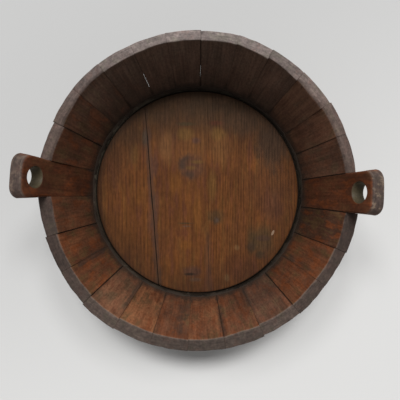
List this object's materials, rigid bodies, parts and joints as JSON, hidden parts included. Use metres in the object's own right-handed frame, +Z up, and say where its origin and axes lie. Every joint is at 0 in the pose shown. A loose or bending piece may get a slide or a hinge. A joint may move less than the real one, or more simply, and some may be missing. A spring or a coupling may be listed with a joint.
{
  "type": "washing tub",
  "caption": "Round coopered wooden washing tub with splayed staves, a plank bottom held in a groove, iron hoops, and two tall ear staves with carrying holes.",
  "frame": {"origin": "on the floor under the middle of the tub, on the tub's axis", "axes": "+Z up along the tub's axis, +X towards the right ear, +Y towards the back"},
  "size_m": [0.579, 0.54, 0.235],
  "materials": {
    "stave_wood": "old oiled softwood, worn and dirty",
    "ear_wood": "old oiled wood, polished by hands",
    "bottom_wood": "old oiled planks with raised grain",
    "dowel_wood": "plain wood",
    "pitch": "dull, dusty",
    "hoop_iron": "dark wrought iron with rust",
    "rivet_iron": "dark wrought iron"
  },
  "bodies": {
    "root": {"back_stave_01": "stave_wood", "back_stave_02": "stave_wood", "back_stave_03": "stave_wood", "back_stave_04": "stave_wood", "back_stave_05": "stave_wood", "back_stave_06": "stave_wood", "back_stave_07": "stave_wood", "back_stave_08": "stave_wood", "back_stave_09": "stave_wood", "back_stave_10": "stave_wood", "back_stave_11": "stave_wood", "back_stave_12": "stave_wood", "front_stave_01": "stave_wood", "front_stave_02": "stave_wood", "front_stave_03": "stave_wood", "front_stave_04": "stave_wood", "front_stave_05": "stave_wood", "front_stave_06": "stave_wood", "front_stave_07": "stave_wood", "front_stave_08": "stave_wood", "front_stave_09": "stave_wood", "front_stave_10": "stave_wood", "front_stave_11": "stave_wood", "front_stave_12": "stave_wood", "right_ear_stave": "ear_wood", "left_ear_stave": "ear_wood", "left_bottom_board": "bottom_wood", "middle_bottom_board": "bottom_wood", "right_bottom_board": "bottom_wood", "bottom_dowels": "dowel_wood", "pitch_seam": "pitch", "upper_hoop": "hoop_iron", "lower_hoop": "hoop_iron", "upper_hoop_rivets": "rivet_iron", "lower_hoop_rivets": "rivet_iron"}
  },
  "joints": []
}
